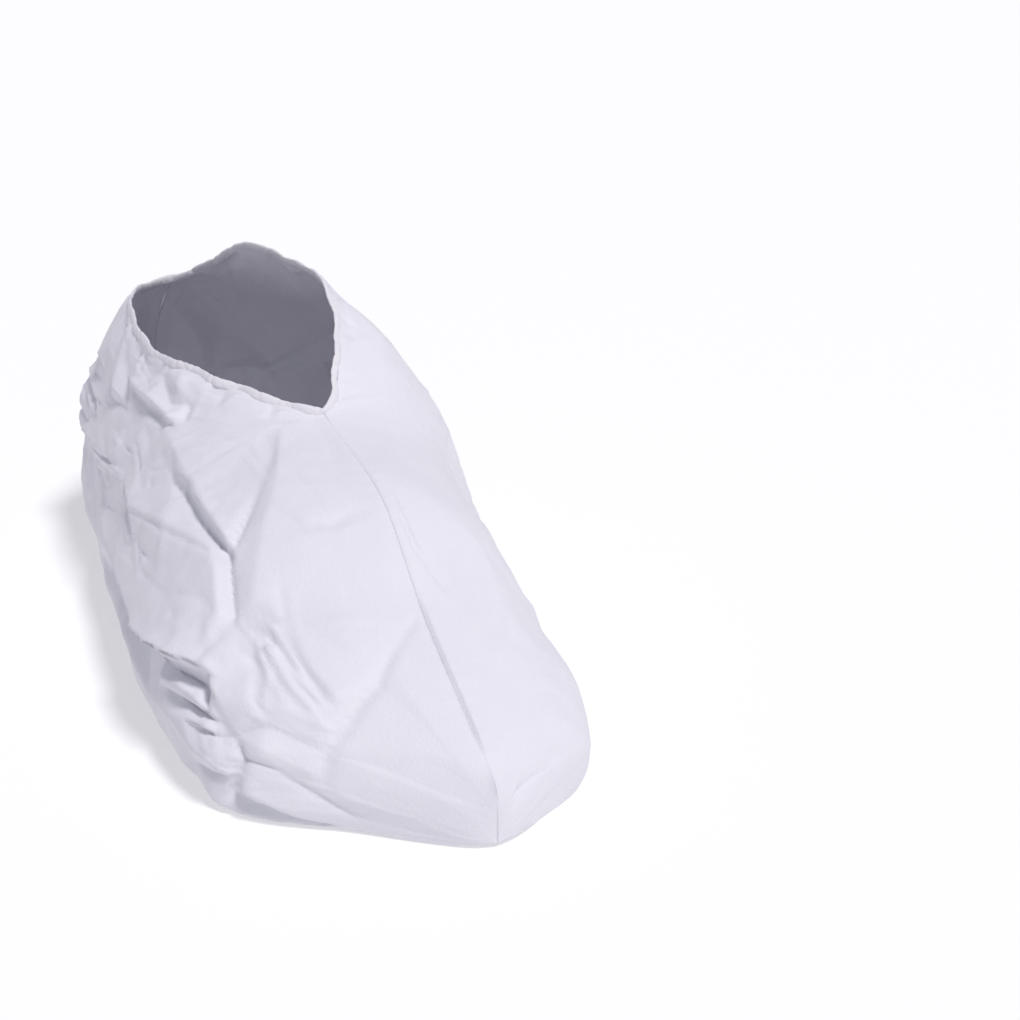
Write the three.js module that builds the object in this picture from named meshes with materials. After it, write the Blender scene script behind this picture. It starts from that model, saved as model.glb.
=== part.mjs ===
// A worn disposable shoe cover: two cloth half shells sewn along one seam, with a gathered elastic hem.
// Millimetres, +Z up, the toe towards -Y and the flat sole on Z = 0.
// A place on the cloth is given by its distance from the toe and by its girth,
// which runs from 0 at the seam under the sole to 1 at the seam over the instep or at the mouth's edge.
import * as THREE from 'three';

// Driving sizes
const LENGTH = 320;
const WALL = 1.5;
const PIECE_GAP = 0.3;
const CLOTH_COLOUR = 0xe9e7f1;
const CLOTH_ROUGHNESS = 0.7;

// The two sides of the seam
const LEFT = -1;
const RIGHT = 1;

// Cross-sections at each side of the seam: half width, half width of the sole and apex height,
// and the height of the widest place.
// The apex is the ridge that carries the seam, and over the mouth it is where the cut cloth would have met.
const SECTIONS = [
  { fromToe: 0, left: 0, right: 0, leftSole: 0, rightSole: 0, bulge: 6, leftApex: 17, rightApex: 17 },
  { fromToe: 8, left: 16, right: 19, leftSole: 13, rightSole: 16, bulge: 7, leftApex: 25, rightApex: 25 },
  { fromToe: 22, left: 32, right: 42, leftSole: 27, rightSole: 35, bulge: 10, leftApex: 33, rightApex: 33 },
  { fromToe: 60, left: 68, right: 51, leftSole: 57, rightSole: 43, bulge: 17, leftApex: 51, rightApex: 51 },
  { fromToe: 105, left: 71, right: 48, leftSole: 60, rightSole: 42, bulge: 26, leftApex: 74, rightApex: 74 },
  { fromToe: 150, left: 66, right: 57, leftSole: 56, rightSole: 43, bulge: 32, leftApex: 83, rightApex: 83 },
  { fromToe: 178, left: 61, right: 63, leftSole: 51, rightSole: 44, bulge: 33, leftApex: 94, rightApex: 105 },
  { fromToe: 205, left: 57, right: 61, leftSole: 48, rightSole: 44, bulge: 33, leftApex: 104, rightApex: 122 },
  { fromToe: 255, left: 47, right: 51, leftSole: 40, rightSole: 41, bulge: 34, leftApex: 115, rightApex: 125 },
  { fromToe: 296, left: 38, right: 37, leftSole: 32, rightSole: 31, bulge: 35, leftApex: 96, rightApex: 96 },
  { fromToe: 320, left: 0, right: 0, leftSole: 0, rightSole: 0, bulge: 34, leftApex: 54, rightApex: 54 },
];

// The ankle mouth
const MOUTH_FRONT = 152;
const MOUTH_BACK = 296;
const MOUTH_HALF = { [LEFT]: 34, [RIGHT]: 24 };
const FRONT_POINT = 0.75;
const BACK_POINT = 0.55;

// How far the seam is pulled sideways where the cover is worn askew
const SEAM_PULL = [
  { fromToe: 0, shift: 0 },
  { fromToe: 90, shift: 7 },
  { fromToe: 150, shift: 9 },
  { fromToe: 320, shift: 0 },
];
const PULL_FROM_HEIGHT = 10;
const PULL_RUN = 60;

// The shape of one cross-section
const SOLE_GIRTH = 0.25;
const SIDE_GIRTH = 0.45;
const PEAK_POWER = 1.12;

// How the sole's line is rounded up at the two ends
const TOE_LIFT = 1.5;
const TOE_RUN = 14;
const HEEL_LIFT = 16;
const HEEL_RUN = 18;
const TIP_POWER = 3;

// Main folds: straight creases between two places on the cloth, valleys with a negative depth
const GIRTH_RUN = 190;
const FOLDS = [
  { side: LEFT, fromToe: 161, fromGirth: 0.72, toToe: 104, toGirth: 0.73, depth: -3, width: 16 },
  { side: LEFT, fromToe: 122, fromGirth: 0.82, toToe: 104, toGirth: 0.73, depth: -2.5, width: 15 },
  { side: LEFT, fromToe: 104, fromGirth: 0.73, toToe: 85, toGirth: 0.7, depth: -3, width: 14 },
  { side: LEFT, fromToe: 191, fromGirth: 0.58, toToe: 112, toGirth: 0.66, depth: 3, width: 18 },
  { side: LEFT, fromToe: 71, fromGirth: 0.76, toToe: 32, toGirth: 0.73, depth: 2.5, width: 14 },
  { side: LEFT, fromToe: 205, fromGirth: 0.36, toToe: 112, toGirth: 0.4, depth: -4, width: 14 },
  { side: LEFT, fromToe: 96, fromGirth: 0.51, toToe: 68, toGirth: 0.59, depth: -4, width: 14 },
  { side: LEFT, fromToe: 61, fromGirth: 0.51, toToe: 43, toGirth: 0.65, depth: -2.5, width: 14 },
  { side: LEFT, fromToe: 44, fromGirth: 0.55, toToe: 20, toGirth: 0.5, depth: -2.5, width: 13 },
  { side: LEFT, fromToe: 222, fromGirth: 0.77, toToe: 186, toGirth: 0.76, depth: -3.5, width: 13 },
  { side: LEFT, fromToe: 154, fromGirth: 0.89, toToe: 110, toGirth: 0.81, depth: -2, width: 15 },
  { side: LEFT, fromToe: 270, fromGirth: 0.52, toToe: 206, toGirth: 0.58, depth: -3, width: 16 },
  { side: LEFT, fromToe: 255, fromGirth: 0.7, toToe: 275, toGirth: 0.56, depth: -3, width: 13 },
  { side: RIGHT, fromToe: 152, fromGirth: 0.93, toToe: 96, toGirth: 0.93, depth: -2, width: 13 },
  { side: RIGHT, fromToe: 102, fromGirth: 0.75, toToe: 57, toGirth: 0.78, depth: 3, width: 18 },
  { side: RIGHT, fromToe: 57, fromGirth: 0.78, toToe: 36, toGirth: 0.86, depth: 2.5, width: 15 },
  { side: RIGHT, fromToe: 150, fromGirth: 0.7, toToe: 105, toGirth: 0.62, depth: -3.5, width: 16 },
  { side: RIGHT, fromToe: 105, fromGirth: 0.62, toToe: 62, toGirth: 0.6, depth: -3, width: 15 },
  { side: RIGHT, fromToe: 190, fromGirth: 0.56, toToe: 135, toGirth: 0.52, depth: 3, width: 17 },
  { side: RIGHT, fromToe: 205, fromGirth: 0.88, toToe: 222, toGirth: 0.6, depth: -3.5, width: 14 },
  { side: RIGHT, fromToe: 238, fromGirth: 0.88, toToe: 250, toGirth: 0.58, depth: -3.5, width: 14 },
  { side: RIGHT, fromToe: 176, fromGirth: 0.9, toToe: 168, toGirth: 0.68, depth: -3, width: 14 },
  { side: RIGHT, fromToe: 272, fromGirth: 0.84, toToe: 282, toGirth: 0.55, depth: -2.5, width: 13 },
];
const FOLD_FROM_GIRTH = 0.26;
const FOLD_FULL_GIRTH = 0.36;
const FOLD_END_GIRTH = 0.97;
const FOLD_TIP_RUN = 14;

// Gathers that the elastic draws into the cloth below the mouth's edge
const GATHERS_A_SIDE = 9;
const GATHER_DEPTH = 1.2;
const GATHER_FROM_GIRTH = 0.74;

// The hem's band
const HEM_HEIGHT = 5;
const HEM_THICKNESS = 3.6;
const HEM_CORNERS = 8;
const HEM_RIPPLE = 0.18;

// How finely the cloth is divided
const TOE_ROWS = 16;
const MOUTH_ROWS = 24;
const MOUTH_EASE = 0.7;
const HEEL_ROWS = 7;
const SOLE_CELLS = 2;
const SIDE_CELLS = 4;
const UPPER_CELLS = 13;
const PROBE = 0.004;

const { clamp, lerp, smoothstep } = THREE.MathUtils;

// Angle along the length that makes both ends of a table run out round
function turnAt(fromToe) {
  return Math.acos(clamp(1 - 2 * fromToe / LENGTH, -1, 1)) / Math.PI;
}

function fromToeAt(turn) {
  return LENGTH * (1 - Math.cos(Math.PI * turn)) / 2;
}

// Smooth line through the points that never overshoots them
function smoothLine(xs, ys) {
  const last = xs.length - 1;
  const slopes = xs.slice(1).map((x, i) => (ys[i + 1] - ys[i]) / (x - xs[i]));
  const bends = xs.map((x, i) => {
    if (i === 0) return slopes[0];
    if (i === last) return slopes[last - 1];
    const product = slopes[i - 1] * slopes[i];
    return product > 0 ? 2 * product / (slopes[i - 1] + slopes[i]) : 0;
  });
  return (x) => {
    const i = clamp(xs.findIndex((edge) => edge > x) - 1, 0, last - 1);
    const row = x >= xs[last] ? last - 1 : i;
    const run = xs[row + 1] - xs[row];
    const t = clamp((x - xs[row]) / run, 0, 1);
    const rest = 1 - t;
    const start = ys[row] * (1 + 2 * t) * rest * rest + run * bends[row] * t * rest * rest;
    const end = ys[row + 1] * (3 - 2 * t) * t * t - run * bends[row + 1] * t * t * rest;
    return start + end;
  };
}

function sectionLine(column) {
  return smoothLine(SECTIONS.map((row) => turnAt(row.fromToe)), SECTIONS.map((row) => row[column]));
}

const halfWidthLine = { [LEFT]: sectionLine('left'), [RIGHT]: sectionLine('right') };
const soleLine = { [LEFT]: sectionLine('leftSole'), [RIGHT]: sectionLine('rightSole') };
const apexLine = { [LEFT]: sectionLine('leftApex'), [RIGHT]: sectionLine('rightApex') };
const bulgeLine = sectionLine('bulge');
const pullLine = smoothLine(SEAM_PULL.map((row) => row.fromToe), SEAM_PULL.map((row) => row.shift));

// Quarter round from 0 at the flat sole to 1 at the very end
function roundUp(near) {
  return 1 - Math.sqrt(1 - near * near);
}

// Share of the mouth's full width that is open at a distance from the toe
function mouthShare(fromToe) {
  const across = 2 * (fromToe - MOUTH_FRONT) / (MOUTH_BACK - MOUTH_FRONT) - 1;
  if (Math.abs(across) >= 1) return 0;
  return (1 - across * across) ** (across < 0 ? FRONT_POINT : BACK_POINT);
}

// Angle up the arch of a cross-section at which the cloth ends: at the apex, or earlier at the mouth's edge
function edgeAngle(side, fromToe) {
  const mouthHalf = MOUTH_HALF[side] * mouthShare(fromToe);
  if (mouthHalf === 0) return Math.PI / 2;
  return Math.acos((mouthHalf / halfWidthLine[side](turnAt(fromToe))) ** (1 / PEAK_POWER));
}

// A point of the smooth cloth without its folds, moved in from the outer face by inset
function smoothPoint(side, fromToe, girth, inset) {
  const turn = turnAt(fromToe);
  const nearToe = clamp(1 - fromToe / TOE_RUN, 0, 1);
  const nearHeel = clamp(1 - (LENGTH - fromToe) / HEEL_RUN, 0, 1);
  const half = Math.max(0, halfWidthLine[side](turn) - inset);
  const soleHalf = Math.max(0, soleLine[side](turn) - inset);
  const bottom = TOE_LIFT * roundUp(nearToe) + HEEL_LIFT * roundUp(nearHeel) + inset;
  const bulge = bulgeLine(turn);
  const apex = apexLine[side](turn) - inset;

  let x;
  let z;
  if (girth <= SOLE_GIRTH) {
    x = soleHalf * girth / SOLE_GIRTH;
    z = bottom;
  } else if (girth <= SIDE_GIRTH) {
    const angle = (girth - SOLE_GIRTH) / (SIDE_GIRTH - SOLE_GIRTH) * Math.PI / 2;
    x = soleHalf + (half - soleHalf) * Math.sin(angle);
    z = lerp(bulge, bottom, Math.cos(angle));
  } else {
    const angle = (girth - SIDE_GIRTH) / (1 - SIDE_GIRTH) * edgeAngle(side, fromToe);
    x = half * Math.max(0, Math.cos(angle)) ** PEAK_POWER;
    z = lerp(bulge, apex, Math.sin(angle));
  }
  z = lerp(z, lerp(bottom, apex, girth * girth), (nearToe + nearHeel) ** TIP_POWER);

  const pull = pullLine(fromToe) * clamp((z - PULL_FROM_HEIGHT) / PULL_RUN, 0, 1);
  const y = inset + (LENGTH - 2 * inset) * fromToe / LENGTH;
  return new THREE.Vector3(side * (x + PIECE_GAP / 2) + pull, y, z);
}

// Direction straight out of the smooth cloth
function outward(side, fromToe, girth) {
  const turn = turnAt(fromToe);
  const ahead = smoothPoint(side, fromToeAt(clamp(turn + PROBE, 0, 1)), girth, 0);
  const behind = smoothPoint(side, fromToeAt(clamp(turn - PROBE, 0, 1)), girth, 0);
  const above = smoothPoint(side, fromToe, clamp(girth + PROBE, 0, 1), 0);
  const below = smoothPoint(side, fromToe, clamp(girth - PROBE, 0, 1), 0);
  const alongLength = ahead.sub(behind);
  const alongGirth = above.sub(below);
  return alongLength.cross(alongGirth).multiplyScalar(side).normalize();
}

// Height of one straight crease at a place on the cloth, a tent that falls away on both sides
function creaseHeight(fold, fromToe, girth) {
  const start = new THREE.Vector2(fold.fromToe, fold.fromGirth * GIRTH_RUN);
  const run = new THREE.Vector2(fold.toToe, fold.toGirth * GIRTH_RUN).sub(start);
  const place = new THREE.Vector2(fromToe, girth * GIRTH_RUN).sub(start);
  const along = clamp(place.dot(run) / run.lengthSq(), 0, 1);
  const away = place.addScaledVector(run, -along).length();
  return fold.depth * Math.max(0, 1 - away / fold.width);
}

function gatherHeight(fromToe, girth) {
  const along = (fromToe - MOUTH_FRONT) / (MOUTH_BACK - MOUTH_FRONT);
  if (along <= 0 || along >= 1 || girth <= GATHER_FROM_GIRTH) return 0;
  const fade = Math.sin(Math.PI * (girth - GATHER_FROM_GIRTH) / (1 - GATHER_FROM_GIRTH));
  return GATHER_DEPTH * fade * Math.cos(2 * Math.PI * GATHERS_A_SIDE * along);
}

// How far the folds move the cloth out, none of it on the sole, at the ends or at the edges
function foldHeight(side, fromToe, girth) {
  const sole = smoothstep(girth, FOLD_FROM_GIRTH, FOLD_FULL_GIRTH);
  const edge = clamp((1 - girth) / (1 - FOLD_END_GIRTH), 0, 1);
  const ends = clamp(Math.min(fromToe, LENGTH - fromToe) / FOLD_TIP_RUN, 0, 1);
  const creases = FOLDS.filter((fold) => fold.side === side);
  const height = creases.reduce((sum, fold) => sum + creaseHeight(fold, fromToe, girth), 0);
  return (height + gatherHeight(fromToe, girth)) * sole * edge * ends;
}

function clothPoint(side, fromToe, girth, inset) {
  const height = foldHeight(side, fromToe, girth);
  return smoothPoint(side, fromToe, girth, inset).addScaledVector(outward(side, fromToe, girth), height);
}

// Even steps from start to end, without the end itself
function steps(start, end, count) {
  return Array.from({ length: count }, (unused, i) => lerp(start, end, i / count));
}

// Rows along the mouth, closer together near its two ends
function mouthStations() {
  return steps(0, 1, MOUTH_ROWS).map((share) => {
    const eased = (1 - Math.cos(Math.PI * share)) / 2;
    return lerp(MOUTH_FRONT, MOUTH_BACK, lerp(share, eased, MOUTH_EASE));
  });
}

function lengthStations() {
  const toe = steps(0, turnAt(MOUTH_FRONT), TOE_ROWS).map(fromToeAt);
  const heel = steps(turnAt(MOUTH_BACK), 1, HEEL_ROWS).map(fromToeAt);
  return [...toe, ...mouthStations(), ...heel, LENGTH];
}

function girthStations() {
  const sole = steps(0, SOLE_GIRTH, SOLE_CELLS);
  const sides = steps(SOLE_GIRTH, SIDE_GIRTH, SIDE_CELLS);
  const upper = steps(SIDE_GIRTH, 1, UPPER_CELLS);
  return [...sole, ...sides, ...upper, 1];
}

function geometryFrom(points, corners) {
  const geometry = new THREE.BufferGeometry();
  geometry.setFromPoints(points);
  geometry.setIndex(corners);
  geometry.computeVertexNormals();
  return geometry;
}

// A half shell of cloth: an outer face, an inner face and the cut edges that join them
function panelGeometry(side) {
  const lengths = lengthStations();
  const girths = girthStations();
  const face = (inset) => lengths.flatMap((s) => girths.map((g) => clothPoint(side, s, g, inset)));
  const points = [...face(0), ...face(WALL)];
  const lastRow = lengths.length - 1;
  const lastCell = girths.length - 1;
  const outer = (i, j) => i * girths.length + j;
  const inner = (i, j) => lengths.length * girths.length + outer(i, j);
  const corners = [];
  const addQuad = (a, b, c, d) => {
    corners.push(...(side === RIGHT ? [a, b, c, a, c, d] : [a, c, b, a, d, c]));
  };

  for (let i = 0; i < lastRow; i += 1) {
    for (let j = 0; j < lastCell; j += 1) {
      addQuad(outer(i, j), outer(i + 1, j), outer(i + 1, j + 1), outer(i, j + 1));
      addQuad(inner(i, j), inner(i, j + 1), inner(i + 1, j + 1), inner(i + 1, j));
    }
    addQuad(outer(i + 1, 0), outer(i, 0), inner(i, 0), inner(i + 1, 0));
    addQuad(outer(i, lastCell), outer(i + 1, lastCell), inner(i + 1, lastCell), inner(i, lastCell));
  }
  for (let j = 0; j < lastCell; j += 1) {
    addQuad(outer(0, j), outer(0, j + 1), inner(0, j + 1), inner(0, j));
    addQuad(outer(lastRow, j + 1), outer(lastRow, j), inner(lastRow, j), inner(lastRow, j + 1));
  }
  return geometryFrom(points, corners);
}

// Middle of the cloth's edge at the mouth
function mouthEdge(side, fromToe) {
  return smoothPoint(side, fromToe, 1, 0).lerp(smoothPoint(side, fromToe, 1, WALL), 0.5);
}

// The closed line round the mouth that the hem sits on
function mouthLoop() {
  const between = mouthStations().slice(1);
  const front = mouthEdge(LEFT, MOUTH_FRONT).lerp(mouthEdge(RIGHT, MOUTH_FRONT), 0.5);
  const back = mouthEdge(LEFT, MOUTH_BACK).lerp(mouthEdge(RIGHT, MOUTH_BACK), 0.5);
  const leftRun = between.map((s) => mouthEdge(LEFT, s));
  const rightRun = between.map((s) => mouthEdge(RIGHT, s)).reverse();
  return [front, ...leftRun, back, ...rightRun];
}

// The hem: a soft oval band along the loop, a little thicker and thinner by turns where it is gathered
function hemGeometry() {
  const loop = mouthLoop();
  const points = [];
  loop.forEach((place, i) => {
    const before = loop[(i + loop.length - 1) % loop.length];
    const after = loop[(i + 1) % loop.length];
    const across = new THREE.Vector3(after.y - before.y, before.x - after.x, 0).normalize();
    const core = place.clone();
    core.z += WALL / 2 + PIECE_GAP + HEM_HEIGHT / 2;
    const ripple = 1 + HEM_RIPPLE * (i % 2 === 0 ? 1 : -1);
    for (let corner = 0; corner < HEM_CORNERS; corner += 1) {
      const angle = 2 * Math.PI * corner / HEM_CORNERS;
      const point = core.clone().addScaledVector(across, ripple * HEM_THICKNESS / 2 * Math.cos(angle));
      point.z += HEM_HEIGHT / 2 * Math.sin(angle);
      points.push(point);
    }
  });
  const at = (i, corner) => (i % loop.length) * HEM_CORNERS + corner % HEM_CORNERS;
  const corners = [];
  for (let i = 0; i < loop.length; i += 1) {
    for (let corner = 0; corner < HEM_CORNERS; corner += 1) {
      corners.push(at(i, corner), at(i + 1, corner), at(i + 1, corner + 1));
      corners.push(at(i, corner), at(i + 1, corner + 1), at(i, corner + 1));
    }
  }
  return geometryFrom(points, corners);
}

function clothMesh(name, geometry) {
  const material = new THREE.MeshStandardMaterial({
    color: CLOTH_COLOUR,
    roughness: CLOTH_ROUGHNESS,
    metalness: 0,
  });
  const mesh = new THREE.Mesh(geometry, material);
  mesh.name = name;
  return mesh;
}

const cover = new THREE.Group();
cover.add(clothMesh('left_panel', panelGeometry(LEFT)));
cover.add(clothMesh('right_panel', panelGeometry(RIGHT)));
cover.add(clothMesh('elastic_hem', hemGeometry()));

// The origin goes under the middle of the whole cover
const box = new THREE.Box3().setFromObject(cover);
const middle = box.getCenter(new THREE.Vector3());
cover.position.set(-middle.x, -middle.y, -box.min.z);

export default cover;
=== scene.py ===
"""Looks of a worn disposable shoe cover: two crumpled cloth panels and a gathered elastic hem.

Shapes are worked out in millimetres from the tables below and become metres when a mesh is made.
The frame is +Z up, the toe towards -Y and the flat sole on Z = 0.
"""
import math

import bpy
import numpy as np
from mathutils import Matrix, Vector
from mathutils.bvhtree import BVHTree
from mathutils.geometry import delaunay_2d_cdt


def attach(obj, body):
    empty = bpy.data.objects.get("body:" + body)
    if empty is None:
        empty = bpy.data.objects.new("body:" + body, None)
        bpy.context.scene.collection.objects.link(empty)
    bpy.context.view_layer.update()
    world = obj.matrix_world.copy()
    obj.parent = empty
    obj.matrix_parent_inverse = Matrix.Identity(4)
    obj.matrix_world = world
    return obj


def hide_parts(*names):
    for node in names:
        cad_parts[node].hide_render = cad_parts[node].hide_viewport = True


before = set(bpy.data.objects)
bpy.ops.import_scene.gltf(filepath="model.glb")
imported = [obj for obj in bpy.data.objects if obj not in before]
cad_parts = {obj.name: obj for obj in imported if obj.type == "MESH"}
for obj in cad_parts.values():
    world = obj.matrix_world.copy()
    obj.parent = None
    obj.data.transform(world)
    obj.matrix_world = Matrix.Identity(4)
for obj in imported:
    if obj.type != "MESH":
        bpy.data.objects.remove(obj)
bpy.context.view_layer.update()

MM = 0.001
TINY = 1e-9
UPRIGHT = np.array([0.0, 0.0, 1.0])
SEED = 7
LEFT = -1
RIGHT = 1
PANELS = {LEFT: "left_panel", RIGHT: "right_panel"}
HEM = "elastic_hem"

# The cover's length, the cloth's thickness, the gap between the panels at their seam, and the way
# from the tables' origin at the toe to the frame's
LENGTH = 320.0
SHEET_THICKNESS = 0.6
PIECE_GAP = 0.04
TO_FRAME = np.array([0.007, -LENGTH / 2, 0.0])

# Cross-sections: distance from the toe, left and right half width, the same of the sole, height of
# the widest place, and left and right height of the ridge, which over the mouth is where the cut
# cloth would have met
SECTIONS = np.array([
    (0, 0, 0, 0, 0, 6, 17, 17),
    (8, 16, 19, 13, 16, 7, 25, 25),
    (22, 32, 42, 27, 35, 10, 33, 33),
    (60, 68, 51, 57, 43, 17, 51, 51),
    (105, 71, 48, 60, 42, 26, 74, 74),
    (150, 66, 57, 56, 43, 32, 83, 83),
    (178, 61, 63, 51, 44, 33, 94, 105),
    (205, 57, 61, 48, 44, 33, 104, 122),
    (255, 47, 51, 40, 41, 34, 115, 125),
    (296, 38, 37, 32, 31, 35, 96, 96),
    (320, 0, 0, 0, 0, 34, 54, 54),
], float)
FROM_TOE, LEFT_HALF, RIGHT_HALF, LEFT_SOLE, RIGHT_SOLE, BULGE, LEFT_APEX, RIGHT_APEX = range(8)

# The ankle mouth: where it starts and ends, its half width on each side, and the powers that make its
# ends pointed, near 1, or round, near 0.5
MOUTH_FRONT = 152.0
MOUTH_BACK = 296.0
MOUTH_HALF = {LEFT: 34.0, RIGHT: 24.0}
FRONT_POINT = 0.75
BACK_POINT = 0.55

# How far the seam is pulled sideways where the cover is worn askew: distance from the toe and shift, then
# the height above which the pull sets in and the rise over which it does
SEAM_PULL = np.array([(0, 0), (90, 7), (150, 9), (320, 0)], float)
PULL_FROM_HEIGHT = 10.0
PULL_RUN = 60.0

# The shape of one cross-section: the girths at which the sole and the side end, and the power that
# makes the arch above them peaked. Girth runs from 0 at the seam under the sole to 1 at the upper edge.
SOLE_GIRTH = 0.25
SIDE_GIRTH = 0.45
PEAK_POWER = 1.12

# How the sole's line is rounded up at the two ends, and how late the section becomes an upright line
TOE_LIFT = 1.5
TOE_RUN = 14.0
HEEL_LIFT = 16.0
HEEL_RUN = 18.0
TIP_POWER = 3

# The length that a girth of 1 stands for where a panel is laid out flat
GIRTH_RUN = 190.0

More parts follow.
